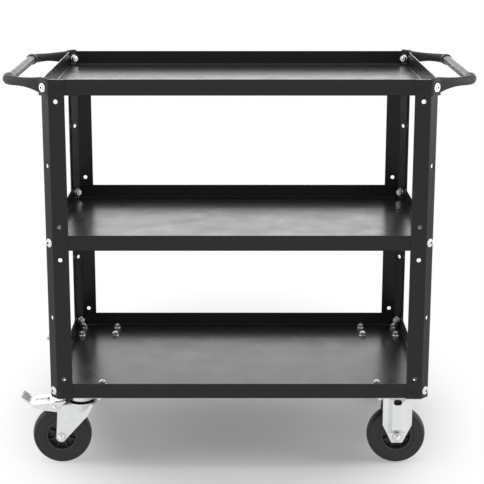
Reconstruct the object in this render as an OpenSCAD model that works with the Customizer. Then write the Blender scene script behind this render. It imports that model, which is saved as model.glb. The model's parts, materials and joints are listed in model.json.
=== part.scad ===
// Rolling utility cart. Three lipped steel shelves are bolted into four folded corner posts,
// a push handle stands out at each end, two braked swivel castors carry the left end and two
// fixed castors the right. +X runs along the cart, its front faces -Y and +Z is up. The
// origin is on the floor under the middle of the cart. All sizes are in millimetres.

/* [Cart] */
// Length over the corner posts
body_length = 794; // [640:1:1100]
// Depth over the corner posts
body_depth = 500; // [420:1:700]
// Rise from one shelf to the next
shelf_pitch = 320; // [240:1:420]

/* [Shelves] */
// Height of a shelf with its lips
lip_height = 33; // [30:1:60]
// Sheet thickness of the shelves
shelf_sheet = 1.5; // [1:0.1:2.5]
// Inside radius of the shelves' folds
shelf_bend = 2.5; // [1:0.5:4]
// Open slit beside each corner tab of a shelf
corner_slit = 1; // [0.5:0.5:2]

/* [Posts] */
// Sheet thickness of the posts
post_sheet = 2; // [1.5:0.1:3]
// Width of each flange, from its free edge to the chamfer
post_flange = 32; // [28:1:45]
// Size of the chamfer between a post's flanges, along X and along Y
post_chamfer = 16; // [15:0.5:22]
// Inside radius of the posts' folds
post_bend = 2; // [1:0.5:3]
// Distance of the flange holes from the far side of the corner
flange_hole_inset = 30; // [26:1:36]
// Height of the flange holes above the lowest and below the highest shelf bolt
end_hole_offset = 28; // [24:1:60]
// Height of the flange holes above and below the middle shelf bolt
middle_hole_offset = 35; // [28:1:60]
// Distance of the hanging slots from the far side of the corner
slot_inset = 36; // [32:1:38]
// Length of the hanging slots
slot_length = 17; // [10:1:18]
// Height of the hanging slots
slot_height = 7; // [5:0.5:9]
// How far the shelves' pressed bosses stand into the hanging slots
boss_rise = 1.5; // [0.5:0.25:1.5]
// Play round the bosses in the slots
boss_play = 0.5; // [0.3:0.1:1]

/* [Fasteners] */
// Thread diameter of the bolts
bolt_d = 8; // [6:0.5:8.5]
// How much wider the bolt holes are than the bolts
bolt_play = 1; // [0.5:0.1:1.5]
// How much wider a nut's bore is than its bolt
thread_play = 0.1; // [0.06:0.02:0.2]
// Length of thread that stands out of a nut
bolt_overrun = 2.5; // [1:0.5:5]
// Width of the round flange on the corner bolts' heads
button_d = 17.8; // [15:0.2:18]
// Height of the corner bolts' heads
button_h = 4.4; // [3.5:0.1:6]
// Width across the flats of the nuts and hexagon heads
hex_width = 13; // [11:0.5:14]
// Width of the round flange on the nuts and hexagon heads
hex_flange_d = 17.6; // [15:0.2:18]
// Height of the nuts
nut_h = 8; // [6:0.5:9]
// Height of the hexagon heads
hex_head_h = 5.5; // [4:0.5:7]

/* [Handles] */
// How far a handle reaches out past the posts
handle_reach = 88; // [75:1:110]
// Diameter of the grip tube
grip_d = 19; // [17:0.5:20]
// Wall of the grip tube
grip_wall = 1.5; // [1:0.1:3]
// Height of the grip's axis below the rim of the top shelf
grip_drop = 9.5; // [6:0.5:14]
// Distance of the arms' mouths from the front and the back of the posts
mouth_inset = 92; // [80:1:110]
// Depth to which the grip is pushed into each arm
socket_depth = 10; // [8:1:11]
// Play of the grip in its sockets, across the diameter and at each end
socket_play = 0.16; // [0.04:0.02:0.2]
// Width of the round collar at an arm's mouth
collar_d = 24.5; // [24:0.5:28]
// Length of the round collar at an arm's mouth
collar_length = 9; // [5:1:12]
// Size of the collar's bevelled edge
collar_edge = 1.5; // [0.5:0.25:1.5]
// Thickness of the pad that is bolted to the post
pad_thickness = 5; // [4:0.5:7]
// Height of the pad
pad_height = 36; // [32:1:44]
// How far the pad stands above the rim of the top shelf
pad_rise = 3; // [1:0.5:6]
// Thickness of the arm where it leaves the pad
arm_root_thickness = 14; // [12:0.5:16]
// Thickness of the arm at its waist
arm_waist_thickness = 12; // [10:0.5:15]
// Height of the arm at its waist
arm_waist_height = 17.5; // [15:0.5:22]

/* [Castor plates] */
// Distance from a plate's centre to the end of the cart
plate_end_inset = 61; // [58:1:90]
// Distance from a plate's centre to the front or back of the cart
plate_side_inset = 53.5; // [50:0.5:80]
// Length of a plate, along the cart
plate_length = 105; // [100:1:110]
// Width of a plate
plate_width = 85; // [80:1:90]
// Sheet thickness of a plate
plate_sheet = 3; // [2.5:0.5:4]
// Corner radius of a plate
plate_corner = 6; // [3:1:10]
// Spacing of the plate's bolts along the cart
plate_bolts_length = 80; // [78:1:84]
// Spacing of the plate's bolts across the cart
plate_bolts_width = 60; // [58:1:64]

/* [Wheels] */
// Diameter of the wheels
wheel_d = 125; // [115:1:130]
// Height of the shelf above the top of the wheels
wheel_headroom = 35; // [33:0.5:45]
// Width of the tyres
tyre_width = 37.5; // [32:0.5:39]
// Radius of the tread across its width
tread_radius = 40; // [30:1:80]
// Radius at the tyre's shoulders
shoulder_radius = 6; // [3:0.5:8]
// Diameter at which the tyre sits on the hub
rim_d = 70; // [64:1:76]
// Thickness of the hub's rim
rim_wall = 5.5; // [3:0.5:7]
// Width of the hub across its boss
hub_width = 44; // [40:0.5:46]
// Diameter of the hub's boss
boss_d = 27; // [24:1:32]
// Thickness of the disc between boss and rim
disc_thickness = 6; // [4:0.5:10]
// Thickness of the hub's ribs
hub_rib = 2.5; // [2:0.5:4]
// Depth of the ribs' edges below the hub's rim
rib_recess = 7; // [2:0.5:12]
// Number of ribs on each side of the hub
hub_ribs = 8; // [5:1:10]
// Outer diameter of the bush on which a wheel turns
bush_d = 12; // [11:0.5:15]
// Running play between a hub and its bush, across the diameter
bush_play = 0.14; // [0.06:0.02:0.18]
// Play at each end of a hub
side_play = 0.25; // [0.1:0.05:0.3]
// Play of the axle in its holes, across the diameter
axle_play = 0.1; // [0.06:0.02:0.2]

/* [Forks] */
// Sheet thickness of the forks
fork_sheet = 3; // [2:0.5:4]
// Inside radius of the forks' folds
fork_bend = 4; // [2:0.5:6]
// Radius of the fork's leg round the axle
leg_radius = 10.5; // [9.5:0.5:12]
// Slope of the edge that rises from the axle, in degrees
fork_rake = 48; // [44:1:52]
// How far a swivel castor's wheel trails behind its axis
trail = 44; // [36:1:50]
// Diameter of the swivel crown
crown_d = 64; // [60:1:70]
// Height of the crown's conical skirt
crown_skirt = 26; // [18:1:30]
// Diameter of the dished head under a swivel plate, at its foot
head_d = 55; // [50:1:57]
// How much wider the dished head is at the plate
head_flare = 4; // [3:1:6]
// Depth of the dished head under a swivel plate
head_drop = 15; // [12:0.5:16]
// Gap between the head and the crown
race_gap = 3; // [3:0.5:5]
// Diameter of the ring of balls
race_d = 40; // [36:1:42]
// Diameter of the balls
ball_d = 6; // [5:0.5:7]
// Number of balls in a ring
ball_count = 16; // [8:1:16]
// Diameter of the kingpin
kingpin_d = 10; // [9:0.5:12]
// Diameter of the kingpin's heads
kingpin_head_d = 19; // [16:1:22]
// Thickness of the kingpin's heads
kingpin_head_h = 3; // [2:0.5:4]
// Running play of the crown on the kingpin, across the diameter
kingpin_play = 0.12; // [0.06:0.02:0.18]
// Running gap between parts that slide past each other
running_gap = 0.3; // [0.2:0.05:0.5]
// Width of a fixed fork at its top
fixed_fork_width = 62; // [56:1:63]
// Width of a fixed fork at its foot
fixed_foot_width = 23; // [20:1:30]
// Depth of a fixed fork's foot below the axle
fixed_foot_drop = 12; // [10:0.5:16]
// Height above the axle at which a fixed fork's taper starts
fixed_taper_rise = 28; // [20:1:34]
// Width of the raised rib down a fixed fork
rib_width = 22; // [20:1:26]
// How far the rib stands out
rib_rise = 4; // [2:0.5:5]
// Width of the opening at the rib's head
fork_window_width = 18; // [14:1:20]
// Height of the opening at the rib's head
fork_window_height = 12; // [8:1:14]
// Depth of that opening's middle below the fork's fold
fork_window_drop = 8; // [7:1:10]

/* [Brakes] */
// Distance from the swivel axis to the brake's pivot
brake_pivot_out = 55; // [53:1:60]
// Height of the brake's pivot above the top of the wheel
brake_pivot_rise = 5; // [4:0.5:6]
// Diameter of the brake's pivot pin
brake_pin_d = 6; // [5:0.5:7]
// Running play of the lever on its pin, across the diameter
brake_pin_play = 0.14; // [0.06:0.02:0.18]
// Length of the lever from its pivot out to its toe
lever_length = 47; // [42:1:56]
// Length of the lever from its pivot in towards the swivel axis
lever_tail = 25; // [20:1:25]
// Sheet thickness of the lever
lever_sheet = 2; // [1.5:0.5:2.5]
// Height of the lever's top above its pivot
lever_rise = 13.5; // [13:0.5:14]
// Radius of the lever round its pivot
lever_boss = 9; // [8:0.5:10]
// Slope of the lever at rest, in degrees
lever_slope = 7.5; // [5:0.5:10]
// Angle through which the lever is pressed, in degrees
lever_travel = 7; // [5:1:7]
// Length of the window in the lever's web
lever_window_length = 24; // [18:1:26]
// Width of the window in the lever's web
lever_window_width = 15; // [12:1:18]
// Length of the lever's turned-up toe
toe_length = 25; // [18:1:28]
// Angle by which the toe is turned up, in degrees
toe_turn = 46; // [30:1:50]
// Width of the toe and its tread
tread_width = 40; // [34:1:46]
// Thickness of the tread under its ribs
tread_base = 1.5; // [1:0.5:3]
// Height of the tread's ribs
tread_rib = 1.5; // [1:0.5:2]
// Number of ribs on the tread
tread_ribs = 5; // [3:1:7]
// Gap between the pressed brake shoe and the tyre
shoe_gap = 0.4; // [0.3:0.1:1]
// Thickness of the brake shoe
shoe_thickness = 3; // [2:0.5:4]
// Length of the brake shoe along the tyre
shoe_length = 20; // [14:1:24]
// Width of the brake shoe
shoe_width = 26; // [20:1:34]
// Distance from the lever's pivot out to the shoe's screw
shoe_screw_out = 17; // [15:1:18]

/* [Hidden] */
$fn = 48;

past = 1; // how far a cutting shape runs past the surface it cuts
seam = 0.01; // how far pieces of one sheet run into each other
half_length = body_length / 2;
half_depth = body_depth / 2;
wheel_r = wheel_d / 2;
castor_height = wheel_d + wheel_headroom;
rim_z = castor_height + 2 * shelf_pitch + lip_height;
hole_d = bolt_d + bolt_play;
levels = [0, 1, 2]; // the shelves, from the lowest

// Height of a shelf's underside, and of the bolts at its corners
function shelf_z(level) = castor_height + level * shelf_pitch;
function bolt_z(level) = shelf_z(level) + lip_height / 2;

// The shelves lie against the insides of the posts
tray_length = body_length - 2 * post_sheet;
tray_depth = body_depth - 2 * post_sheet;
diagonal_loss = 2 - sqrt(2); // how much a 45 degree chamfer shrinks per unit of inset
tray_chamfer = post_chamfer - diagonal_loss * post_sheet;
shelf_fold = shelf_bend + shelf_sheet;
floor_chamfer = tray_chamfer - diagonal_loss * shelf_fold;
lip_end = tray_chamfer + (1 - tan(45 / 2)) * shelf_fold - diagonal_loss * shelf_fold / 2 + corner_slit;
tab_width = floor_chamfer * sqrt(2) - 2 * corner_slit;

fork_gap = hub_width + 2 * side_play;
fork_width = fork_gap + 2 * fork_sheet;
plate_under = castor_height - plate_sheet;
crown_top = plate_under - head_drop - race_gap;
castor_x = half_length - plate_end_inset;
castor_y = half_depth - plate_side_inset;
castor_places = [
    [-castor_x, -castor_y],
    [-castor_x, castor_y],
    [castor_x, -castor_y],
    [castor_x, castor_y]
];
brake_pivot = [-brake_pivot_out, wheel_d + brake_pivot_rise];

black_paint = "#2b2c2e";
black_plastic = "#3a3b3d";
zinc = "#c9cdd0";
rubber = "#1d1d1e";

// ---- shared shapes ----

// Turns a shape that is drawn for the rear right corner to another corner
module at_corner(x_side, y_side) {
    mirror([x_side < 0 ? 1 : 0, 0, 0])
        mirror([0, y_side < 0 ? 1 : 0, 0])
            children();
}

module at_all_corners() {
    for (x_side = [-1, 1])
        for (y_side = [-1, 1])
            at_corner(x_side, y_side) children();
}

// The arc of a folded sheet, up to 90 degrees, that starts along +X at the origin
module fold_arc(turn, sheet, radius) {
    outer = radius + sheet;
    reach = 2 * outer;
    translate([0, outer])
        intersection() {
            difference() {
                circle(r = outer);
                circle(r = radius);
            }
            polygon([
                [0, 0],
                [0, -reach],
                [reach * tan(turn / 2), -reach],
                [reach * sin(turn), -reach * cos(turn)]
            ]);
        }
}

// A folded sheet seen end on: its outer face starts along +X at the origin and each fold
// turns left. Legs are measured to the sharp corners of the outer face.
module folded(legs, turns, sheet, radius, i = 0) {
    outer = radius + sheet;
    before = i == 0 ? 0 : outer * tan(turns[i - 1] / 2);
    after = i == len(turns) ? 0 : outer * tan(turns[i] / 2);
    start = i == 0 ? 0 : before - seam;
    end = i == len(turns) ? legs[i] : legs[i] - after + seam;
    translate([start, 0])
        square([end - start, sheet]);
    if (i < len(turns)) {
        translate([legs[i] - after, 0])
            fold_arc(turns[i], sheet, radius);
        translate([legs[i], 0])
            rotate(turns[i])
                folded(legs, turns, sheet, radius, i + 1);
    }
}

// A rectangle with round corners, about the origin
module rounded_rectangle(size, radius) {
    square([size.x - 2 * radius, size.y], center = true);
    square([size.x, size.y - 2 * radius], center = true);
    for (x_side = [-1, 1])
        for (y_side = [-1, 1])
            translate([x_side * (size.x / 2 - radius), y_side * (size.y / 2 - radius)])
                circle(r = radius);
}

// A slot with round ends along X, about the origin
module slot(length, height) {
    square([length - height, height], center = true);
    for (side = [-1, 1])
        translate([side * (length - height) / 2, 0])
            circle(d = height);
}

// Turns a profile drawn in Y and Z into a bar along X, about the origin
module along_x(length) {
    rotate([90, 0, 90])
        linear_extrude(length, center = true)
            children();
}

// Turns a profile drawn in X and Z into a bar along Y, about the origin
module along_y(length) {
    rotate([90, 0, 0])
        linear_extrude(length, center = true)
            children();
}

// Hexagon flange nut, with its seat at the origin and standing along +Z
module flange_nut() {
    flange_edge = 1.2;
    difference() {
        union() {
            cylinder(d = hex_flange_d, h = flange_edge);
            translate([0, 0, flange_edge])
                cylinder(d1 = hex_flange_d, d2 = hex_width, h = flange_edge);
            intersection() {
                cylinder(d = hex_width / cos(30), h = nut_h, $fn = 6);
                union() {
                    cylinder(d = 2 * hex_width, h = nut_h - flange_edge);
                    translate([0, 0, nut_h - flange_edge])
                        cylinder(d1 = hex_width / cos(30), d2 = hex_width, h = flange_edge);
                }
            }
        }
        translate([0, 0, -past])
            cylinder(d = bolt_d + thread_play, h = nut_h + 2 * past);
    }
}

// Threaded end of a bolt, a plain rod along +Z with a chamfered tip
module bolt_shank(length) {
    tip = 1;
    cylinder(d = bolt_d, h = length - tip);
    translate([0, 0, length - tip])
        cylinder(d1 = bolt_d, d2 = bolt_d - 2 * tip, h = tip);
}

// Button head bolt with a flange. The head sits on the origin and the shank runs down -Z
module button_bolt(grip) {
    flange_edge = 1.4;
    socket_width = 5;
    socket_depth = 2.6;
    dome_d = bolt_d + 6;
    difference() {
        union() {
            cylinder(d = button_d, h = flange_edge);
            translate([0, 0, flange_edge])
                cylinder(d1 = dome_d, d2 = dome_d - 5, h = button_h - flange_edge);
        }
        translate([0, 0, button_h - socket_depth])
            cylinder(d = socket_width / cos(30), h = socket_depth + past, $fn = 6);
    }
    rotate([180, 0, 0])
        bolt_shank(grip + nut_h + bolt_overrun);
}

// Hexagon bolt with a flange. The head hangs down from the origin and the shank runs up +Z
module hexagon_bolt(grip) {
    flange_edge = 1.2;
    translate([0, 0, -flange_edge])
        cylinder(d = hex_flange_d, h = flange_edge);
    translate([0, 0, -hex_head_h])
        cylinder(d = hex_width / cos(30), h = hex_head_h, $fn = 6);
    bolt_shank(grip + nut_h + bolt_overrun);
}

// ---- posts ----

// Places children, drawn along +Z, on the chamfer of the rear right post, pointing out
module on_chamfer(height, outward = 0) {
    translate([half_length - post_chamfer / 2, half_depth - post_chamfer / 2, height])
        rotate([0, 90, 45])
            translate([0, 0, outward])
                children();
}

// Cuts the same shape, drawn flat, through the end flange and the long flange of a corner
module through_flanges(inset, height) {
    reach = 4 * (post_sheet + shelf_sheet);
    translate([half_length, half_depth - inset, height])
        rotate([90, 0, 90])
            linear_extrude(reach, center = true)
                children();
    translate([half_length - inset, half_depth, height])
        rotate([90, 0, 0])
            linear_extrude(reach, center = true)
                children();
}

module post() {
    height = rim_z - castor_height;
    color(black_paint)
        difference() {
            translate([half_length, half_depth - post_chamfer - post_flange, castor_height])
                linear_extrude(height)
                    rotate(90)
                        folded(
                            [post_flange, post_chamfer * sqrt(2), post_flange],
                            [45, 45], post_sheet, post_bend
                        );
            for (step = [0 : 4])
                on_chamfer(bolt_z(0) + step * shelf_pitch / 2)
                    cylinder(d = hole_d, h = 4 * post_sheet, center = true);
            for (height = [
                bolt_z(0) + end_hole_offset, bolt_z(1) - middle_hole_offset,
                bolt_z(1) + middle_hole_offset, bolt_z(2) - end_hole_offset
            ])
                through_flanges(flange_hole_inset, height)
                    circle(d = hole_d);
            for (level = [levels[0], levels[2]])
                through_flanges(slot_inset, bolt_z(level))
                    slot(slot_length, slot_height);
        }
}

// ---- shelves ----

// A straight lip with its fold, seen end on: its outer face is at x = edge
module lip_profile(edge) {
    root = 2 * shelf_fold;
    translate([edge - root, 0])
        folded([root, lip_height], [90], shelf_sheet, shelf_bend);
}

module tray_lips() {
    for (side = [0, 180])
        rotate(side) {
            along_y(tray_depth - 2 * lip_end)
                lip_profile(tray_length / 2);
            rotate(90)
                along_y(tray_length - 2 * lip_end)
                    lip_profile(tray_depth / 2);
        }
}

module tray_floor() {
    x = tray_length / 2 - shelf_fold;
    y = tray_depth / 2 - shelf_fold;
    c = floor_chamfer;
    linear_extrude(shelf_sheet)
        polygon([
            [x, y - c], [x - c, y], [c - x, y], [-x, y - c],
            [-x, c - y], [c - x, -y], [x - c, -y], [x, c - y]
        ]);
}

// Places children, drawn flat, on the two lips beside the rear right corner, facing out
module on_lips() {
    translate([tray_length / 2, half_depth - slot_inset, lip_height / 2])
        rotate([90, 0, 90])
            children();
    translate([half_length - slot_inset, tray_depth / 2, lip_height / 2])
        rotate([90, 0, 180])
            children();
}

// A boss that is pressed out of a lip into the post's slot, and the hollow behind it
module slot_boss() {
    translate([0, 0, -seam])
        linear_extrude(boss_rise + seam)
            slot(slot_length - 2 * boss_play, slot_height - 2 * boss_play);
}

module slot_boss_hollow() {
    inset = boss_play + shelf_sheet / 2;
    translate([0, 0, -shelf_sheet - past])
        linear_extrude(boss_rise + past)
            slot(slot_length - 2 * inset, slot_height - 2 * inset);
}

module tray(level) {
    has_bosses = level != levels[1];
    color(black_paint)
        translate([0, 0, shelf_z(level)])
            difference() {
                union() {
                    tray_floor();
                    tray_lips();
                    at_all_corners() {
                        translate([
                            (tray_length - tray_chamfer) / 2, (tray_depth - tray_chamfer) / 2, 0
                        ])
                            rotate(45)
                                along_y(tab_width)
                                    lip_profile(0);
                        if (has_bosses)
                            on_lips() slot_boss();
                    }
                }
                at_all_corners() {
                    on_chamfer(lip_height / 2)
                        cylinder(d = hole_d, h = 8 * post_sheet, center = true);
                    if (has_bosses)
                        on_lips() slot_boss_hollow();
                }
                if (level == 0)
                    at_castor_bolts()
                        translate([0, 0, -past])
                            cylinder(d = hole_d, h = shelf_sheet + 2 * past);
            }
}

// ---- bolts through the corners and the castor plates ----

// Depth from the outer face of a post's chamfer to the inner face of a shelf's tab
corner_grip = post_sheet + shelf_sheet;

// The handles' pads lie under the heads of the highest bolts
function head_seat(level) = level == levels[2] ? pad_thickness : 0;

module corner_bolts() {
    color(zinc)
        at_all_corners()
            for (level = levels)
                on_chamfer(bolt_z(level), head_seat(level))
                    button_bolt(head_seat(level) + corner_grip);
}

module corner_nuts() {
    color(zinc)
        at_all_corners()
            for (level = levels)
                on_chamfer(bolt_z(level), -corner_grip)
                    rotate([180, 0, 0])
                        flange_nut();
}

module at_castor_bolts() {
    for (place = castor_places)
        for (x_side = [-1, 1])
            for (y_side = [-1, 1])
                translate([
                    place.x + x_side * plate_bolts_length / 2,
                    place.y + y_side * plate_bolts_width / 2, 0
                ])
                    children();
}

module castor_bolts() {
    color(zinc)
        translate([0, 0, plate_under])
            at_castor_bolts()
                hexagon_bolt(plate_sheet + shelf_sheet);
}

module castor_nuts() {
    color(zinc)
        translate([0, 0, castor_height + shelf_sheet])
            at_castor_bolts()
                flange_nut();
}

// ---- handles ----

grip_x = half_length + handle_reach - collar_d / 2;
grip_z = rim_z - grip_drop;
mouth_y = half_depth - mouth_inset;
pad_z = rim_z + pad_rise - pad_height / 2;

// The arm is a loft along a curve in plan. It leaves the corner at a shallow angle to X and
// turns until it meets the grip end on.
arm_heading = 20;
arm_lead = 36;
arm_tail = 34;
arm_start = [half_length - 4, half_depth - post_chamfer - 4];
arm_end = [grip_x, mouth_y + collar_length / 2];
arm_route = [
    arm_start,
    arm_start + arm_lead * [cos(arm_heading), -sin(arm_heading)],
    arm_end + [0, arm_tail],
    arm_end
];
arm_stations = 18;
arm_sides = 20;

function curve_point(p, t) =
    p[0] * pow(1 - t, 3) + 3 * p[1] * t * pow(1 - t, 2)
    + 3 * p[2] * t * t * (1 - t) + p[3] * pow(t, 3);
function curve_heading(p, t) =
    (p[1] - p[0]) * pow(1 - t, 2) + 2 * (p[2] - p[1]) * t * (1 - t) + (p[3] - p[2]) * t * t;

// How much of the root form and of the mouth form is left at t along the arm
function root_share(t) = pow(max(0, 1 - t / 0.55), 2.2);
function mouth_share(t) = pow(max(0, (t - 0.4) / 0.6), 1.6);
function arm_height(t) =
    arm_waist_height + (pad_height - arm_waist_height) * root_share(t)
    + (collar_d - 1 - arm_waist_height) * mouth_share(t);
function arm_thickness(t) =
    arm_waist_thickness + (arm_root_thickness - arm_waist_thickness) * root_share(t)
    + (collar_d - 1 - arm_waist_thickness) * mouth_share(t);
function arm_z(t) = grip_z + (pad_z - grip_z) * root_share(t);

// A point on a rounded section: 2 is an ellipse, and more is squarer
function rounded_unit(value, squareness) = sign(value) * pow(abs(value), 2 / squareness);
function arm_ring(t) = let (
    point = curve_point(arm_route, t),
    heading = curve_heading(arm_route, t),
    side = [-heading.y, heading.x] / norm(heading),
    squareness = 2 + 3 * root_share(t) + 0.8 * (1 - mouth_share(t))
) [
    for (i = [0 : arm_sides - 1]) let (
        angle = 360 * (i + 0.5) / arm_sides,
        across = arm_thickness(t) / 2 * rounded_unit(cos(angle), squareness),
        up = arm_height(t) / 2 * rounded_unit(sin(angle), squareness)
    ) [point.x + side.x * across, point.y + side.y * across, arm_z(t) + up]
];

module arm_loft() {
    rings = [for (k = [0 : arm_stations]) arm_ring(k / arm_stations)];
    points = [for (ring = rings) for (point = ring) point];
    last = arm_stations * arm_sides;
    faces = concat(
        [[for (i = [0 : arm_sides - 1]) i]],
        [for (k = [0 : arm_stations - 1]) for (i = [0 : arm_sides - 1]) [
            k * arm_sides + i,
            (k + 1) * arm_sides + i,
            (k + 1) * arm_sides + (i + 1) % arm_sides,
            k * arm_sides + (i + 1) % arm_sides
        ]],
        [[for (i = [arm_sides - 1 : -1 : 0]) last + i]]
    );
    polyhedron(points, faces);
}

// The round collar at the arm's mouth, from its mouth along +Z
module arm_collar() {
    r = collar_d / 2;
    rotate_extrude($fn = 96)
        polygon([
            [0, 0], [r - collar_edge, 0], [r, collar_edge],
            [r, collar_length - 2 * collar_edge], [r - collar_edge, collar_length],
            [0, collar_length]
        ]);
}

// The room that the posts and shelves take, which the arms fit round
module body_envelope() {
    x = half_length;
    y = half_depth;
    c = post_chamfer;
    polygon([[x, y - c], [x - c, y], [0, y], [0, 0], [x, 0]]);
}

module handle_arm() {
    face_width = post_chamfer * sqrt(2);
    // the pad runs past the chamfer until its face meets the face of the arm
    pad_overhang = 2;
    color(black_plastic)
        difference() {
            union() {
                translate([0, 0, pad_z - pad_height / 2])
                    linear_extrude(pad_height)
                        translate([half_length - post_chamfer / 2, half_depth - post_chamfer / 2])
                            rotate(45)
                                translate([-past, -face_width / 2 - pad_overhang])
                                    square([pad_thickness + past, face_width + pad_overhang]);
                arm_loft();
                translate([grip_x, mouth_y, grip_z])
                    rotate([-90, 0, 0])
                        arm_collar();
            }
            translate([0, 0, pad_z - pad_height])
                linear_extrude(2 * pad_height)
                    body_envelope();
            on_chamfer(bolt_z(2))
                cylinder(d = hole_d, h = 4 * pad_thickness, center = true);
            translate([grip_x, mouth_y - past, grip_z])
                rotate([-90, 0, 0])
                    cylinder(d = grip_d + socket_play, h = socket_depth + past);
        }
}

module handle_grip() {
    length = 2 * (mouth_y + socket_depth - socket_play);
    color(black_paint)
        translate([grip_x, 0, grip_z])
            rotate([90, 0, 0])
                difference() {
                    cylinder(d = grip_d, h = length, center = true);
                    cylinder(d = grip_d - 2 * grip_wall, h = length + 2 * past, center = true);
                }
}

// ---- wheels, drawn with the axle through the origin along Y ----

module turned_about_y() {
    rotate([90, 0, 0])
        rotate_extrude($fn = 96)
            children();
}

module wheel_hub() {
    bore_d = bush_d + bush_play;
    rim_width = tyre_width - 3;
    rib_height = rim_width - 2 * rib_recess;
    color(black_plastic)
        difference() {
            union() {
                turned_about_y()
                    translate([rim_d / 2 - rim_wall, -rim_width / 2])
                        square([rim_wall, rim_width]);
                turned_about_y()
                    translate([boss_d / 2 - past, -disc_thickness / 2])
                        square([(rim_d - boss_d) / 2 - rim_wall + 2 * past, disc_thickness]);
                turned_about_y()
                    translate([bore_d / 2, -hub_width / 2])
                        square([(boss_d - bore_d) / 2, hub_width]);
                for (i = [0 : hub_ribs - 1])
                    rotate([0, 360 / hub_ribs * (i + 0.5), 0])
                        translate([(boss_d + rim_d) / 4 - rim_wall / 2, 0, 0])
                            cube([(rim_d - boss_d) / 2, rib_height, hub_rib], center = true);
            }
            rotate([90, 0, 0])
                cylinder(d = bore_d, h = hub_width + 2 * past, center = true);
        }
}

module wheel_tyre() {
    side = tyre_width / 2;
    foot = side - 1.5; // half width where the tyre meets the rim
    color(rubber)
        turned_about_y()
            intersection() {
                union() {
                    polygon([
                        [rim_d / 2, -foot], [rim_d / 2 + 4, -side],
                        [wheel_r - shoulder_radius, -side], [wheel_r, shoulder_radius - side],
                        [wheel_r, side - shoulder_radius], [wheel_r - shoulder_radius, side],
                        [rim_d / 2 + 4, side], [rim_d / 2, foot]
                    ]);
                    for (end = [-1, 1])
                        translate([wheel_r - shoulder_radius, end * (side - shoulder_radius)])
                            circle(r = shoulder_radius);
                }
                translate([wheel_r - tread_radius, 0])
                    circle(r = tread_radius, $fn = 120);
            }
}

module axle_bush() {
    color(zinc)
        rotate([90, 0, 0])
            difference() {
                cylinder(d = bush_d, h = fork_gap, center = true);
                cylinder(d = bolt_d + axle_play, h = fork_gap + 2 * past, center = true);
            }
}

// The bolt's head is behind the fork and its nut in front
module axle_bolt() {
    color(zinc)
        translate([0, fork_width / 2, 0])
            rotate([90, 0, 0])
                hexagon_bolt(fork_width);
}

module axle_nut() {
    color(zinc)
        translate([0, -fork_width / 2, 0])
            rotate([90, 0, 0])
                flange_nut();
}

module axle_hole() {
    rotate([90, 0, 0])
        cylinder(d = bolt_d + axle_play, h = 2 * fork_width, center = true);
}

// ---- castor plates and forks, drawn over the origin with the floor at z = 0 ----

module plate_blank() {
    difference() {
        linear_extrude(plate_sheet)
            rounded_rectangle([plate_length, plate_width], plate_corner);
        for (x_side = [-1, 1])
            for (y_side = [-1, 1])
                translate([x_side * plate_bolts_length / 2, y_side * plate_bolts_width / 2, -past])
                    cylinder(d = hole_d, h = plate_sheet + 2 * past);
    }
}

// The ring of balls sits in a groove of this shape under the head and on the crown
module race_groove(play) {
    translate([0, 0, crown_top + race_gap / 2])
        rotate_extrude($fn = 96)
            translate([race_d / 2, 0])
                circle(d = ball_d + play, $fn = 32);
}

module swivel_plate() {
    foot = head_d / 2;
    wall = plate_sheet;
    top = foot + head_flare / 2;
    round = 2;
    color(zinc)
        difference() {
            union() {
                translate([0, 0, plate_under])
                    difference() {
                        plate_blank();
                        translate([0, 0, -past])
                            cylinder(r = top - wall, h = plate_sheet + 2 * past, $fn = 96);
                    }
                translate([0, 0, plate_under - head_drop])
                    rotate_extrude($fn = 96)
                        polygon([
                            [0, 0], [foot - round, 0], [foot, round],
                            [top, head_drop], [top, head_drop + plate_sheet],
                            [top - wall, head_drop + plate_sheet], [top - wall, head_drop],
                            [foot - wall, wall], [0, wall]
                        ]);
            }
            cylinder(d = kingpin_d + thread_play, h = castor_height);
            race_groove(0);
        }
}

module balls() {
    color(zinc)
        translate([0, 0, crown_top + race_gap / 2])
            for (i = [0 : ball_count - 1])
                rotate(360 / ball_count * i)
                    translate([race_d / 2, 0, 0])
                        sphere(d = ball_d, $fn = 24);
}

module kingpin() {
    seat = plate_under - head_drop + plate_sheet;
    foot = crown_top - fork_sheet - running_gap;
    color(zinc) {
        translate([0, 0, seat])
            cylinder(d = kingpin_head_d, h = kingpin_head_h);
        translate([0, 0, foot])
            cylinder(d = kingpin_d, h = seat - foot);
        translate([0, 0, foot - kingpin_head_h])
            cylinder(d = kingpin_head_d, h = kingpin_head_h);
    }
}

// The outer form of a swivel fork, or with an inset the room inside its sheet
module fork_form(inset) {
    half_width = fork_width / 2 - inset;
    top = crown_top - inset;
    edge = fork_bend + fork_sheet - inset;
    reach = 2 * (brake_pivot_out + crown_d + inset);
    along_x(reach) {
        translate([-half_width, 0])
            square([2 * half_width, top - edge]);
        translate([edge - half_width, 0])
            square([2 * (half_width - edge), top]);
        for (side = [-1, 1])
            translate([side * (half_width - edge), top - edge])
                circle(r = edge);
    }
    translate([0, 0, crown_top - crown_skirt])
        cylinder(r1 = half_width - 2, r2 = crown_d / 2 - inset, h = crown_skirt - inset);
}

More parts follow.
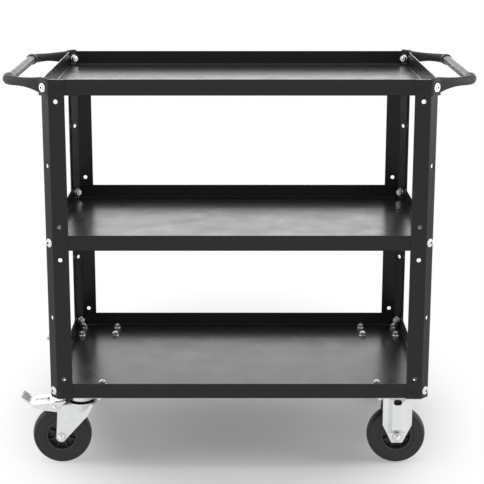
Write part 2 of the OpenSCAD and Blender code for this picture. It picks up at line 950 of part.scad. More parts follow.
// Side view of a swivel fork: a leg down to the axle, a raked edge up to the crown and an
// ear for the brake's pivot
module fork_outline() {
    ear_radius = 8;
    fillet = 6;
    inset = 0.3; // the straight edges run just inside the round ends
    axle = [-trail, wheel_r];
    heel = axle + (leg_radius - inset) * [sin(fork_rake), -cos(fork_rake)];
    knee_x = crown_d / 5;
    knee = [knee_x, heel.y + (knee_x - heel.x) * tan(fork_rake)];
    armpit = brake_pivot + [4, inset - ear_radius];
    translate(axle)
        circle(r = leg_radius);
    translate(brake_pivot)
        circle(r = ear_radius);
    polygon([
        axle - [leg_radius - inset, 0],
        axle,
        heel,
        knee,
        [crown_d / 2 - 4, crown_top],
        [brake_pivot.x + ear_radius, crown_top],
        brake_pivot,
        [brake_pivot.x, armpit.y],
        armpit,
        armpit - [0, fillet]
    ]);
    translate(armpit - [fillet, fillet])
        difference() {
            square([fillet + past, fillet + inset]);
            circle(r = fillet);
        }
}

module swivel_fork() {
    color(zinc)
        difference() {
            union() {
                intersection() {
                    difference() {
                        fork_form(0);
                        fork_form(fork_sheet);
                    }
                    along_y(2 * crown_d)
                        fork_outline();
                }
                translate([0, 0, crown_top - fork_sheet])
                    cylinder(d = crown_d, h = fork_sheet, $fn = 96);
            }
            translate([0, 0, crown_top - crown_skirt])
                cylinder(d = kingpin_d + kingpin_play, h = 2 * crown_skirt);
            race_groove(2 * running_gap);
            translate([-trail, 0, wheel_r])
                axle_hole();
            translate([brake_pivot.x, 0, brake_pivot.y])
                rotate([90, 0, 0])
                    cylinder(d = brake_pin_d + axle_play, h = 2 * fork_width, center = true);
        }
}

// Side view of a fixed fork: straight sides that taper to the axle
module fixed_fork_outline() {
    foot = wheel_r - fixed_foot_drop;
    shoulder = wheel_r + fixed_taper_rise;
    polygon([
        [-fixed_foot_width / 2, foot], [fixed_foot_width / 2, foot],
        [fixed_fork_width / 2, shoulder], [fixed_fork_width / 2, castor_height],
        [-fixed_fork_width / 2, castor_height], [-fixed_fork_width / 2, shoulder]
    ]);
}

// The raised rib down one cheek, as a bar with sloping sides and ends that starts at y = 0
module cheek_rib(rise) {
    slope = 2 * rise;
    low = wheel_r + hex_flange_d / 2 + 1;
    high = plate_under - fork_sheet - fork_bend;
    intersection() {
        linear_extrude(castor_height)
            polygon([
                [-rib_width / 2 - slope, 0], [rib_width / 2 + slope, 0],
                [rib_width / 2, rise], [-rib_width / 2, rise]
            ]);
        along_x(2 * fixed_fork_width)
            polygon([[0, low], [rise, low + slope], [rise, high - slope], [0, high]]);
    }
}

module fixed_fork() {
    color(zinc)
        difference() {
            union() {
                translate([0, 0, plate_under])
                    plate_blank();
                intersection() {
                    along_x(fixed_fork_width)
                        translate([fork_width / 2, 0])
                            rotate(90)
                                folded(
                                    [plate_under, fork_width, plate_under],
                                    [90, 90], fork_sheet, fork_bend
                                );
                    along_y(2 * fork_width)
                        fixed_fork_outline();
                }
                for (turn = [0, 180])
                    rotate(turn)
                        translate([0, fork_width / 2, 0])
                            cheek_rib(rib_rise);
            }
            for (turn = [0, 180])
                rotate(turn)
                    translate([0, fork_gap / 2, 0])
                        cheek_rib(rib_rise);
            // the opening at the head of each rib
            translate([0, 0, plate_under - fork_sheet - fork_bend - fork_window_drop])
                along_y(2 * fork_width)
                    slot(fork_window_width, fork_window_height);
            translate([0, 0, wheel_r])
                axle_hole();
        }
}

// ---- brakes. The lever's own frame has its pivot at the origin, +X out and +Z up ----

module lever_frame(pressed = 0) {
    translate([brake_pivot.x, 0, brake_pivot.y])
        mirror([1, 0, 0])
            rotate([0, lever_slope + pressed, 0])
                children();
}

lever_inside = fork_width + 2 * running_gap;
lever_outside = lever_inside + 2 * lever_sheet;
web_z = lever_rise - lever_sheet;

// Side view of the lever's flanges
module lever_outline() {
    circle(r = lever_boss);
    polygon([
        [0, -lever_boss],
        [0.6 * lever_length, -2],
        [lever_length, lever_rise - 5],
        [lever_length, lever_rise],
        [-lever_tail, lever_rise],
        [-lever_tail, web_z - 2],
        [-lever_boss, 0]
    ]);
}

module lever_channel() {
    intersection() {
        translate([(lever_length - lever_tail) / 2, 0, 0])
            along_x(lever_length + lever_tail + 2 * lever_boss)
                translate([lever_outside / 2, -lever_rise])
                    rotate(90)
                        folded(
                            [2 * lever_rise, lever_outside, 2 * lever_rise],
                            [90, 90], lever_sheet, lever_sheet
                        );
        along_y(2 * lever_outside)
            lever_outline();
    }
}

// The end of the lever's web with its turned-up toe
module lever_toe() {
    lap = 6; // how much of the web the toe is drawn with
    toe_bend = 8;
    translate([lever_length - lap, 0, web_z])
        along_y(tread_width)
            folded([2 * lap, toe_length], [toe_turn], lever_sheet, toe_bend);
}

module brake_lever() {
    color(zinc)
        lever_frame()
            difference() {
                union() {
                    lever_channel();
                    lever_toe();
                }
                // the window behind the shoe's screw
                translate([lever_length - 3 - lever_window_length / 2, 0, web_z - past])
                    linear_extrude(lever_sheet + 2 * past)
                        rounded_rectangle([lever_window_length, lever_window_width], 5);
                rotate([90, 0, 0])
                    cylinder(
                        d = brake_pin_d + brake_pin_play, h = 2 * lever_outside, center = true
                    );
                translate([shoe_screw_out, 0, 0])
                    cylinder(d = shoe_screw_d + axle_play, h = 2 * lever_rise);
            }
}

// The ribbed tread on the face of the toe
module brake_tread() {
    length = toe_length - 8;
    pitch = (tread_width - 6) / tread_ribs;
    color("#a9adb0")
        lever_frame()
            translate([lever_length + 6, 0, web_z])
                rotate([0, -toe_turn, 0])
                    translate([toe_length - length, 0, lever_sheet]) {
                        translate([0, -tread_width / 2, 0])
                            cube([length, tread_width, tread_base]);
                        for (i = [0 : tread_ribs - 1])
                            translate([
                                2, (i + 0.5 - tread_ribs / 2) * pitch - pitch / 4, tread_base - seam
                            ])
                                cube([length - 4, pitch / 2, tread_rib + seam]);
                    }
}

module brake_pin() {
    length = lever_outside + 2 * running_gap;
    head_h = 2;
    color(zinc)
        translate([brake_pivot.x, 0, brake_pivot.y])
            rotate([90, 0, 0]) {
                cylinder(d = brake_pin_d, h = length, center = true);
                for (side = [0, 180])
                    rotate([side, 0, 0])
                        translate([0, 0, length / 2 - seam])
                            cylinder(d1 = brake_pin_d + 4, d2 = brake_pin_d + 1, h = head_h);
            }
}

shoe_screw_d = 6;

// The shoe's pad is struck from the axle as it lies when the lever is pressed. It hangs from
// the lever's web on a screw with a round nut on top.
module brake_shoe() {
    pad_radius = wheel_r + shoe_gap;
    nut_d = 10;
    shoe_nut_h = 4;
    // the axle, seen from the pressed lever
    axle_out = trail - brake_pivot_out;
    axle_up = wheel_r - brake_pivot.y;
    turn = lever_slope + lever_travel;
    axle = [
        axle_out * cos(turn) - axle_up * sin(turn),
        axle_out * sin(turn) + axle_up * cos(turn)
    ];
    pad_z = axle.y + sqrt(pow(pad_radius, 2) - pow(shoe_screw_out - axle.x, 2));
    color(zinc)
        lever_frame() {
            intersection() {
                along_y(shoe_width)
                    translate(axle)
                        difference() {
                            circle(r = pad_radius + shoe_thickness, $fn = 120);
                            circle(r = pad_radius, $fn = 120);
                        }
                translate([shoe_screw_out - shoe_length / 2, -shoe_width, web_z - 2 * shoe_length])
                    cube([shoe_length, 2 * shoe_width, 2 * shoe_length]);
            }
            translate([shoe_screw_out, 0, pad_z + shoe_thickness / 2])
                cylinder(d = shoe_screw_d, h = lever_rise - pad_z - shoe_thickness / 2 + 1);
            // a collar under the web and the nut on it hold the shoe
            translate([shoe_screw_out, 0, web_z - 2])
                cylinder(d = nut_d, h = 2);
            translate([shoe_screw_out, 0, lever_rise])
                cylinder(d1 = nut_d, d2 = nut_d - 3, h = shoe_nut_h);
        }
}

// ---- placing the castors ----

module at_castor(x_side, y_side) {
    translate([x_side * castor_x, y_side * castor_y, 0])
        children();
}

module at_swivel_axle(y_side) {
    at_castor(-1, y_side)
        translate([-trail, 0, wheel_r])
            children();
}

module at_fixed_axle(y_side) {
    at_castor(1, y_side)
        translate([0, 0, wheel_r])
            children();
}

at_corner(-1, -1) post();  // post_front_left
at_corner(1, -1) post();  // post_front_right
at_corner(-1, 1) post();  // post_rear_left
at_corner(1, 1) post();  // post_rear_right
tray(2);  // tray_top
tray(1);  // tray_middle
tray(0);  // tray_bottom
at_corner(-1, -1) handle_arm();  // handle_arm_front_left
at_corner(-1, 1) handle_arm();  // handle_arm_rear_left
at_corner(-1, 1) handle_grip();  // handle_grip_left
at_corner(1, -1) handle_arm();  // handle_arm_front_right
at_corner(1, 1) handle_arm();  // handle_arm_rear_right
at_corner(1, 1) handle_grip();  // handle_grip_right
corner_bolts();
corner_nuts();
castor_bolts();
castor_nuts();

at_castor(-1, -1) swivel_plate();  // swivel_plate_front_left
at_castor(-1, -1) kingpin();  // kingpin_front_left
at_castor(-1, -1) balls();  // balls_front_left
at_castor(-1, -1) swivel_fork();  // fork_front_left
at_swivel_axle(-1) axle_bolt();  // axle_bolt_front_left
at_swivel_axle(-1) axle_nut();  // axle_nut_front_left
at_swivel_axle(-1) axle_bush();  // axle_bush_front_left
at_swivel_axle(-1) wheel_hub();  // wheel_hub_front_left
at_swivel_axle(-1) wheel_tyre();  // wheel_tyre_front_left
at_castor(-1, -1) brake_pin();  // brake_pin_front_left
at_castor(-1, -1) brake_lever();  // brake_lever_front_left
at_castor(-1, -1) brake_tread();  // brake_tread_front_left
at_castor(-1, -1) brake_shoe();  // brake_shoe_front_left

at_castor(-1, 1) swivel_plate();  // swivel_plate_rear_left
at_castor(-1, 1) kingpin();  // kingpin_rear_left
at_castor(-1, 1) balls();  // balls_rear_left
at_castor(-1, 1) swivel_fork();  // fork_rear_left
at_swivel_axle(1) axle_bolt();  // axle_bolt_rear_left
at_swivel_axle(1) axle_nut();  // axle_nut_rear_left
at_swivel_axle(1) axle_bush();  // axle_bush_rear_left
at_swivel_axle(1) wheel_hub();  // wheel_hub_rear_left
at_swivel_axle(1) wheel_tyre();  // wheel_tyre_rear_left
at_castor(-1, 1) brake_pin();  // brake_pin_rear_left
at_castor(-1, 1) brake_lever();  // brake_lever_rear_left
at_castor(-1, 1) brake_tread();  // brake_tread_rear_left
at_castor(-1, 1) brake_shoe();  // brake_shoe_rear_left

at_castor(1, -1) fixed_fork();  // fixed_fork_front_right
at_fixed_axle(-1) axle_bolt();  // axle_bolt_front_right
at_fixed_axle(-1) axle_nut();  // axle_nut_front_right
at_fixed_axle(-1) axle_bush();  // axle_bush_front_right
at_fixed_axle(-1) wheel_hub();  // wheel_hub_front_right
at_fixed_axle(-1) wheel_tyre();  // wheel_tyre_front_right

at_castor(1, 1) fixed_fork();  // fixed_fork_rear_right
at_fixed_axle(1) axle_bolt();  // axle_bolt_rear_right
at_fixed_axle(1) axle_nut();  // axle_nut_rear_right
at_fixed_axle(1) axle_bush();  // axle_bush_rear_right
at_fixed_axle(1) wheel_hub();  // wheel_hub_rear_right
at_fixed_axle(1) wheel_tyre();  // wheel_tyre_rear_right
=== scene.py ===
import json
import math

import bmesh
import bpy
from mathutils import Matrix, Vector


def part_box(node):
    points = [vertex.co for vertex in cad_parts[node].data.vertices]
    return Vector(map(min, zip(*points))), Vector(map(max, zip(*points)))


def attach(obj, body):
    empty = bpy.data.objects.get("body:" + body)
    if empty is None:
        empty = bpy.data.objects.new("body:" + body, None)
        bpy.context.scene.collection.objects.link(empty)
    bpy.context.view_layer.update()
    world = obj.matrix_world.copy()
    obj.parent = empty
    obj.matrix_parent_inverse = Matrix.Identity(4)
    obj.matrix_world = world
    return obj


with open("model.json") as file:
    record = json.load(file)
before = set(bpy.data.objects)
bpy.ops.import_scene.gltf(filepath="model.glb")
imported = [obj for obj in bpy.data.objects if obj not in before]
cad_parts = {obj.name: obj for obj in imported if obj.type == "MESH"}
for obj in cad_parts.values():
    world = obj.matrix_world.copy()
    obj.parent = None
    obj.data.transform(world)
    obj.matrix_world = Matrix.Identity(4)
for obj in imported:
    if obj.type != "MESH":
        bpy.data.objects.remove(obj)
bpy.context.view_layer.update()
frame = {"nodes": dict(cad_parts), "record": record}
nodes = frame["nodes"]

mm = 0.001
castorPlaces = [f"{end}_{side}" for end in ("front", "rear") for side in ("left", "right")]


# Turns a colour written as sRGB hex into the linear values that shaders take
def linear(hexColour):
    parts = [int(hexColour[i:i + 2], 16) / 255 for i in (1, 3, 5)]
    return tuple(
        c / 12.92 if c <= 0.04045 else ((c + 0.055) / 1.055) ** 2.4 for c in parts
    ) + (1.0,)


# Adds a node with its settings. Inputs go by name, or by number where names repeat, and each
# takes a value or a link.
def addNode(tree, kind, inputs=None, **settings):
    node = tree.nodes.new(kind)
    for name, value in settings.items():
        setattr(node, name, value)
    for name, value in (inputs or {}).items():
        socket = node.inputs[name]
        if isinstance(value, bpy.types.NodeSocket):
            tree.links.new(value, socket)
        else:
            socket.default_value = value
    return node


# A material that holds its main shader and the object's own coordinates
def newMaterial(name):
    material = bpy.data.materials.new(name)
    material.use_nodes = True
    tree = material.node_tree
    tree.nodes.clear()
    surface = addNode(tree, "ShaderNodeBsdfPrincipled")
    addNode(tree, "ShaderNodeOutputMaterial", {"Surface": surface.outputs["BSDF"]})
    coords = addNode(tree, "ShaderNodeTexCoord").outputs["Object"]
    return material, tree, surface, coords


# Noise whose lumps are about size metres across, drawn out along the axes by stretch
def noiseAt(tree, coords, size, detail=2.0, stretch=(1, 1, 1)):
    mapped = addNode(tree, "ShaderNodeMapping", {
        "Vector": coords, "Scale": tuple(1 / s for s in stretch),
    })
    return addNode(tree, "ShaderNodeTexNoise", {
        "Vector": mapped.outputs["Vector"], "Scale": 1 / size, "Detail": detail,
    }).outputs["Fac"]


# Noise keeps mostly within its usual part, which is taken to the range from low to high
usualNoise = {"low": 0.3, "high": 0.7}


def spread(tree, noise, low, high):
    return addNode(tree, "ShaderNodeMapRange", {
        "Value": noise, "From Min": usualNoise["low"], "From Max": usualNoise["high"],
        "To Min": low, "To Max": high,
    }).outputs["Result"]


# Goes from one colour to another by the share, where each is a hex colour or a link
def mixColours(tree, share, *colours):
    first, second = (linear(c) if isinstance(c, str) else c for c in colours)
    mix = addNode(tree, "ShaderNodeMix", {0: share, 6: first, 7: second}, data_type="RGBA")
    return mix.outputs[2]


def addBump(tree, surface, height, depth, strength=0.5):
    bump = addNode(tree, "ShaderNodeBump", {
        "Height": height, "Strength": strength, "Distance": depth,
    })
    tree.links.new(bump.outputs["Normal"], surface.inputs["Normal"])


# A coat or a moulding: two near shades in clouds, dull and shiny patches, and a fine grain.
# The grain of mouldings is finer on real ones, and is drawn coarse enough to show close up. An
# ior under the usual 1.5 stands for a surface too uneven to mirror as much as a polished one.
def coatOrMoulding(name, look):
    material, tree, surface, coords = newMaterial(name)
    surface.inputs["IOR"].default_value = look["ior"]
    clouds = noiseAt(tree, coords, look["cloudSize"], look["cloudDetail"])
    tree.links.new(mixColours(tree, clouds, *look["shades"]), surface.inputs["Base Color"])
    patches = noiseAt(tree, coords, look["patchSize"])
    tree.links.new(spread(tree, patches, *look["roughness"]), surface.inputs["Roughness"])
    grain = noiseAt(tree, coords, look["grainSize"], look["grainDetail"])
    addBump(tree, surface, grain, look["grainDepth"])
    return material


# Zinc plate: a metal with a faint cloudy spangle and long rolling marks, which are drawn coarse
# enough to show. Its hollows get a painted shade in their colour, darker than the rest.
zinc = {
    "spangleSize": 9 * mm, "spangleDetail": 4.0,
    "hollowReach": 12 * mm, "hollowBelow": 0.25, "openAbove": 0.85,
    "markStretch": (12, 1, 1), "markDetail": 3.0, "markDepth": 0.01 * mm, "markStrength": 0.4,
}


def zincPlate(name, look):
    material, tree, surface, coords = newMaterial(name)
    surface.inputs["Metallic"].default_value = 1.0
    spangle = noiseAt(tree, coords, zinc["spangleSize"], zinc["spangleDetail"])
    plain = mixColours(tree, spangle, *look["shades"])
    # Painted shade: the colour goes to the hollow colour where ambient occlusion finds the spot
    # closed in
    around = addNode(
        tree, "ShaderNodeAmbientOcclusion", {"Distance": zinc["hollowReach"]}, samples=8,
    )
    openness = addNode(tree, "ShaderNodeMapRange", {
        "Value": around.outputs["AO"],
        "From Min": zinc["hollowBelow"], "From Max": zinc["openAbove"],
    }).outputs["Result"]
    withPaintedShade = mixColours(tree, openness, look["hollow"], plain)
    tree.links.new(withPaintedShade, surface.inputs["Base Color"])
    marks = noiseAt(tree, coords, look["markSize"], zinc["markDetail"], zinc["markStretch"])
    tree.links.new(spread(tree, marks, *look["roughness"]), surface.inputs["Roughness"])
    addBump(tree, surface, marks, zinc["markDepth"], zinc["markStrength"])
    return material


# Polyester powder, baked on the folded posts and shelves: a semi-gloss black, whose fine ripple
# softens what it mirrors
powderCoat = {
    "ior": 1.36, "shades": ("#161718", "#1a1b1c"), "cloudSize": 120 * mm, "cloudDetail": 2.0,
    "roughness": (0.27, 0.33), "patchSize": 50 * mm,
    "grainSize": 1.6 * mm, "grainDetail": 2.0, "grainDepth": 0.008 * mm,
}

# Nylon of the handle arms, moulded in a spark-eroded tool: a satin black with an even grain
mouldedNylon = {
    "ior": 1.3, "shades": ("#303133", "#38393b"), "cloudSize": 20 * mm, "cloudDetail": 2.0,
    "roughness": (0.42, 0.5), "patchSize": 8 * mm,
    "grainSize": 0.6 * mm, "grainDetail": 3.0, "grainDepth": 0.02 * mm,
}

# Lacquer on the steel tubes of the grips: a thin, even coat, a little duller and greyer than
# the powder
tubeLacquer = {
    "ior": 1.22, "shades": ("#343537", "#3b3c3e"), "cloudSize": 50 * mm, "cloudDetail": 2.0,
    "roughness": (0.36, 0.42), "patchSize": 20 * mm,
    "grainSize": 1.0 * mm, "grainDetail": 2.0, "grainDepth": 0.01 * mm,
}

# Polypropylene of the wheel hubs, moulded black: a low, waxy sheen with small dull patches
hubPolypropylene = {
    "ior": 1.5, "shades": ("#262627", "#2e2e2f"), "cloudSize": 15 * mm, "cloudDetail": 2.0,
    "roughness": (0.36, 0.46), "patchSize": 4 * mm,
    "grainSize": 0.7 * mm, "grainDetail": 3.0, "grainDepth": 0.03 * mm,
}

# Solid rubber of the tyres, moulded black: dull, with a slight grey bloom
tyreRubber = {
    "ior": 1.5, "shades": ("#1b1b1c", "#252526"), "cloudSize": 12 * mm, "cloudDetail": 4.0,
    "roughness": (0.55, 0.7), "patchSize": 6 * mm,
    "grainSize": 0.9 * mm, "grainDetail": 3.0, "grainDepth": 0.05 * mm,
}

# Bright zinc on the pressed forks, plates, levers and brake shoes: silver, with soft reflections
zincSheet = {
    "shades": ("#d6d8d9", "#eceded"), "hollow": "#3a3b3c",
    "roughness": (0.26, 0.36), "markSize": 0.8 * mm,
}

# Bright zinc on bolts, nuts, pins, bushes and balls: a touch lighter and shinier than the sheet
zincFastener = {
    "shades": ("#dddedd", "#f2f2f0"), "hollow": "#3a3b3c",
    "roughness": (0.24, 0.34), "markSize": 0.6 * mm,
}

# The same zinc on the treads of the brakes, scuffed dull by feet, with a paler painted shade in its
# hollows
zincTread = {
    "shades": ("#cbcdce", "#dfe0e1"), "hollow": "#a4a6a7",
    "roughness": (0.42, 0.52), "markSize": 0.8 * mm,
}

finishOfSlot = {
    "black_powder_coat": coatOrMoulding("powder_coat_black", powderCoat),
    "black_moulding": coatOrMoulding("moulded_nylon_black", mouldedNylon),
    "black_tube": coatOrMoulding("tube_lacquer_black", tubeLacquer),
    "zinc_sheet": zincPlate("zinc_plated_sheet", zincSheet),
    "zinc_fastener": zincPlate("zinc_plated_fastener", zincFastener),
    "tread_steel": zincPlate("zinc_plated_tread", zincTread),
    "wheel_plastic": coatOrMoulding("hub_polypropylene_black", hubPolypropylene),
    "wheel_rubber": coatOrMoulding("tyre_rubber_black", tyreRubber),
}
print("made", len(finishOfSlot), "finishes")

# Faces are smooth, with sharp edges wherever two meet at more than this
sharpAngle = math.radians(28)
for subpart in frame["record"]["subparts"]:
    node = nodes[subpart["node"]]
    slotName = subpart["material_slot"]
    node.data.materials.clear()
    node.data.materials.append(finishOfSlot[slotName])
    node.data.polygons.foreach_set("use_smooth", [True] * len(node.data.polygons))
    node.data.set_sharp_from_angle(angle=sharpAngle)
print("put finishes on", len(nodes), "CAD nodes")

# The slightly rounded edges that pressing, powder and plating leave on sheet metal
softEdge = {
    "coatedWidth": 0.4 * mm, "coatedNodes": ("post_", "tray_"),
    "platedWidth": 0.3 * mm,
    "platedNodes": ("fixed_fork_", "fork_", "swivel_plate_", "brake_lever_"),
    "segments": 2, "leastAngle": math.radians(50),
}


def softenEdges(node, width):
    bevel = node.modifiers.new("soft_edges", "BEVEL")
    bevel.width = width
    bevel.segments = softEdge["segments"]
    bevel.limit_method = "ANGLE"
    bevel.angle_limit = softEdge["leastAngle"]
    bevel.harden_normals = True


for name, node in nodes.items():
    if name.startswith(softEdge["coatedNodes"]):
        softenEdges(node, softEdge["coatedWidth"])
    elif name.startswith(softEdge["platedNodes"]):
        softenEdges(node, softEdge["platedWidth"])
print("rounded the edges of the sheet metal")


def middleOf(name):
    low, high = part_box(name)
    return (low + high) / 2


# Adds a ring of round section about an axis: a circle, spun right round
def addRing(mesh, centre, axis, radius, thickness, around, across=8):
    axis = Vector(axis).normalized()
    side = axis.orthogonal().normalized()
    turn = Matrix((side, axis, side.cross(axis))).transposed().to_4x4()
    section = bmesh.ops.create_circle(
        mesh, segments=across, radius=thickness,
        matrix=Matrix.Translation(centre + side * radius) @ turn,
    )["verts"]
    edges = list(dict.fromkeys(edge for corner in section for edge in corner.link_edges))
    bmesh.ops.spin(
        mesh, geom=section + edges, cent=centre, axis=axis,
        angle=2 * math.pi, steps=around, use_merge=True,
    )


mergeWithin = 0.0001 * mm
mostCorners = 1000000


# A spin leaves its faces in an order that changes from run to run, and this ranks them for good
def faceRank(face):
    corners = [corner.index for corner in face.verts]
    return min(corners) * mostCorners + max(corners)


# Makes a bmesh an object at the origin, with the finish of its slot, that rides on a body
def finishPiece(name, mesh, slotName, body):
    bmesh.ops.remove_doubles(mesh, verts=mesh.verts, dist=mergeWithin)
    bmesh.ops.recalc_face_normals(mesh, faces=mesh.faces)
    mesh.verts.index_update()
    mesh.faces.sort(key=faceRank)
    data = bpy.data.meshes.new(name)
    mesh.to_mesh(data)
    mesh.free()
    data.polygons.foreach_set("use_smooth", [True] * len(data.polygons))
    data.materials.append(finishOfSlot[slotName])
    piece = bpy.data.objects.new(name, data)
    bpy.context.scene.collection.objects.link(piece)
    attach(piece, body)


# The rolled lips of a hub, and the bead and mould line on each flank of its tyre. Each has its
# radius about the axle, its distance to either side of the wheel's middle, and its thickness.
wheelRings = {
    "lip": {"radius": 33 * mm, "aside": 16.4 * mm, "thickness": 2.1 * mm},
    "bead": {"radius": 37.9 * mm, "aside": 17.7 * mm, "thickness": 1.1 * mm},
    "mouldLine": {"radius": 52 * mm, "aside": 18.6 * mm, "thickness": 0.45 * mm},
    "around": 96,
}
for place in castorPlaces:
    centre = middleOf(f"wheel_hub_{place}")
    lips, beads = bmesh.new(), bmesh.new()
    for way in (-1, 1):
        for mesh, kind in ((lips, "lip"), (beads, "bead"), (beads, "mouldLine")):
            ring = wheelRings[kind]
            middle = centre + Vector((0, way * ring["aside"], 0))
            addRing(
                mesh, middle, (0, 1, 0), ring["radius"], ring["thickness"], wheelRings["around"],
            )
    finishPiece(f"rim_lips_{place}", lips, "wheel_plastic", f"wheel_{place}")
    finishPiece(f"tyre_beads_{place}", beads, "wheel_rubber", f"wheel_{place}")
print("made the rim lips and tyre beads")

# The turns of thread that stand out of a nut, a little closer than the 1.25 mm of an M8 bolt
thread = {
    "radius": 3.86 * mm, "thickness": 0.36 * mm, "turns": 2,
    "first": 0.3 * mm, "step": 1.0 * mm, "around": 24, "across": 6,
}


def addThreads(mesh, start, axis):
    axis = Vector(axis)
    for i in range(thread["turns"]):
        addRing(
            mesh, start + axis * (thread["first"] + i * thread["step"]), axis,
            thread["radius"], thread["thickness"], thread["around"], thread["across"],
        )


# The corner bolts point inwards through the chamfers of the posts, level with each shelf's lip.
# Their line starts this far inside the outer faces of a post, and their nuts end this far on.
cornerBolt = {"insidePost": 8 * mm, "nutEnd": 11.5 * mm}

# The castor bolts point up through the lowest shelf, in an oblong about each plate's middle
castorBolt = {"halfLength": 40 * mm, "halfWidth": 30 * mm}

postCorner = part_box("post_rear_right")[1]
plateMiddle = middleOf("fixed_fork_rear_right")
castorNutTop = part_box("castor_nuts")[1].z
shelfHeights = [middleOf(f"tray_{level}").z for level in ("bottom", "middle", "top")]
cornerThreads, castorThreads = bmesh.new(), bmesh.new()
for xWay in (-1, 1):
    for yWay in (-1, 1):
        inward = Vector((-xWay, -yWay, 0)).normalized()
        for height in shelfHeights:
            seat = Vector((
                xWay * (postCorner.x - cornerBolt["insidePost"]),
                yWay * (postCorner.y - cornerBolt["insidePost"]), height,
            ))
            addThreads(cornerThreads, seat + inward * cornerBolt["nutEnd"], inward)
        for along in (-castorBolt["halfLength"], castorBolt["halfLength"]):
            for across in (-castorBolt["halfWidth"], castorBolt["halfWidth"]):
                start = Vector((
                    xWay * plateMiddle.x + along, yWay * plateMiddle.y + across, castorNutTop,
                ))
                addThreads(castorThreads, start, (0, 0, 1))
finishPiece("corner_bolt_threads", cornerThreads, "zinc_fastener", "cart")
finishPiece("castor_bolt_threads", castorThreads, "zinc_fastener", "cart")

# The axle bolts point forwards. Those on the left swivel with their forks.
for place in castorPlaces:
    middle = middleOf(f"axle_nut_{place}")
    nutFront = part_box(f"axle_nut_{place}")[0].y
    axleThreads = bmesh.new()
    addThreads(axleThreads, Vector((middle.x, nutFront, middle.z)), (0, -1, 0))
    body = f"fork_body_{place}" if place.endswith("left") else "cart"
    finishPiece(f"axle_threads_{place}", axleThreads, "zinc_fastener", body)
print("made the threads")


# One for what is seen by the camera, in a mirror or through glass, and nought for plain light
def seenPlainly(tree):
    path = addNode(tree, "ShaderNodeLightPath").outputs
    cameraOrGlossy = addNode(tree, "ShaderNodeMath", {
        0: path["Is Camera Ray"], 1: path["Is Glossy Ray"],
    }, operation="MAXIMUM").outputs[0]
    return addNode(tree, "ShaderNodeMath", {
        0: cameraOrGlossy, 1: path["Is Transmission Ray"],
    }, operation="MAXIMUM").outputs[0]


# A plain studio floor, which keeps the shadow of the cart in an oval round its foot. Past the
# fade it is seen as an even white.
studioFloor = {
    "shades": ("#dedede", "#e2e2e2"), "cloudSize": 0.5, "width": 40,
    "ovalPlace": (0, -0.25, 0), "ovalScale": (1.9, 1.2, 1),
    "fadeFrom": 0.6, "fadeTo": 1.15, "leastWhite": 0.1,
}
floorPaint, tree, surface, coords = newMaterial("studio_floor_white")
surface.inputs["Roughness"].default_value = 1.0
surface.inputs["Specular IOR Level"].default_value = 0.0
clouds = noiseAt(tree, coords, studioFloor["cloudSize"])
tree.links.new(mixColours(tree, clouds, *studioFloor["shades"]), surface.inputs["Base Color"])
oval = addNode(tree, "ShaderNodeMapping", {
    "Vector": coords, "Location": studioFloor["ovalPlace"], "Scale": studioFloor["ovalScale"],
}).outputs["Vector"]
outward = addNode(tree, "ShaderNodeVectorMath", {0: oval}, operation="LENGTH").outputs["Value"]
whiteness = addNode(tree, "ShaderNodeMapRange", {
    "Value": outward, "From Min": studioFloor["fadeFrom"], "From Max": studioFloor["fadeTo"],
    "To Min": studioFloor["leastWhite"], "To Max": 1.0,
}, interpolation_type="SMOOTHSTEP").outputs["Result"]
share = addNode(tree, "ShaderNodeMath", {
    0: seenPlainly(tree), 1: whiteness,
}, operation="MULTIPLY").outputs[0]
evenWhite = addNode(tree, "ShaderNodeEmission", {"Color": linear("#ffffff"), "Strength": 1.0})
paintOrWhite = addNode(tree, "ShaderNodeMixShader", {
    0: share, 1: surface.outputs["BSDF"], 2: evenWhite.outputs["Emission"],
})
tree.links.new(paintOrWhite.outputs["Shader"], tree.nodes["Material Output"].inputs["Surface"])
bpy.ops.mesh.primitive_plane_add(size=studioFloor["width"], location=(0, 0, 0))
floor = bpy.context.object
floor.name = "studio_floor"
floor.data.materials.append(floorPaint)
print("laid the floor")

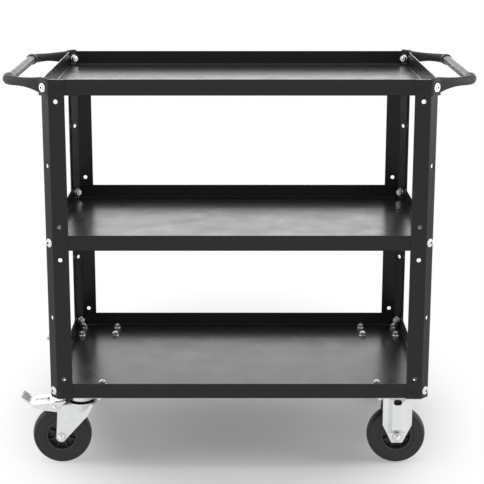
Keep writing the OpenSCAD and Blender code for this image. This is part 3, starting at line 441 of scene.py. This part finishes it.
# The room lights the cart softly from all round, and is seen as white
room = {"light": 0.7, "white": 1.0}
world = bpy.data.worlds.new("studio")
bpy.context.scene.world = world
world.use_nodes = True
tree = world.node_tree
tree.nodes.clear()
softLight = addNode(tree, "ShaderNodeBackground", {
    "Color": linear("#ffffff"), "Strength": room["light"],
})
whiteBack = addNode(tree, "ShaderNodeBackground", {
    "Color": linear("#ffffff"), "Strength": room["white"],
})
lightOrWhite = addNode(tree, "ShaderNodeMixShader", {
    0: seenPlainly(tree), 1: softLight.outputs["Background"], 2: whiteBack.outputs["Background"],
})
addNode(tree, "ShaderNodeOutputWorld", {"Surface": lightOrWhite.outputs["Shader"]})

# One softbox overhead, one at each end, and two far behind, which the shelves mirror
softboxes = {
    "overhead_softbox": {"at": (0, 0.2, 3.2), "to": (0, 0, 0.4), "size": (3.0, 2.2), "watts": 40},
    "left_softbox": {"at": (-3.2, -0.5, 1.2), "to": (0, -0.2, 0.5), "size": (1.5, 2.0), "watts": 24},
    "right_softbox": {"at": (3.2, -0.5, 1.2), "to": (0, -0.2, 0.5), "size": (1.5, 2.0), "watts": 34},
    "low_back_softbox": {"at": (0, 8, 1.1), "to": (0, 0, 1.1), "size": (9.0, 2.2), "watts": 210},
    "high_back_softbox": {"at": (0, 8, 2.6), "to": (0, 0, 2.6), "size": (9.0, 0.8), "watts": 46},
}


def addSoftbox(name, softbox):
    lamp = bpy.data.lights.new(name, "AREA")
    lamp.shape = "RECTANGLE"
    lamp.size, lamp.size_y = softbox["size"]
    lamp.energy = softbox["watts"]
    holder = bpy.data.objects.new(name, lamp)
    bpy.context.scene.collection.objects.link(holder)
    holder.location = softbox["at"]
    aim = Vector(softbox["to"]) - Vector(softbox["at"])
    holder.rotation_euler = aim.to_track_quat("-Z", "Y").to_euler()
    holder.visible_camera = False


for name, softbox in softboxes.items():
    addSoftbox(name, softbox)
print("set up", len(softboxes), "softboxes")

# A camera straight in front, above the top shelf, that looks down a little
view = {
    "at": (-0.008, -2.94, 1.197), "downDegrees": 13.3,
    "sensor": 36, "lens": 101.3, "shift": (0.0132, -0.06), "nearest": 0.1, "farthest": 60,
}
camera = bpy.data.cameras.new("camera")
camera.sensor_width = view["sensor"]
camera.lens = view["lens"]
camera.shift_x, camera.shift_y = view["shift"]
camera.clip_start = view["nearest"]
camera.clip_end = view["farthest"]
viewer = bpy.data.objects.new("camera", camera)
bpy.context.scene.collection.objects.link(viewer)
viewer.location = view["at"]
viewer.rotation_euler = (math.radians(90 - view["downDegrees"]), 0, 0)
bpy.context.scene.camera = viewer
bpy.context.scene.view_settings.view_transform = "Standard"
print("set up the camera")
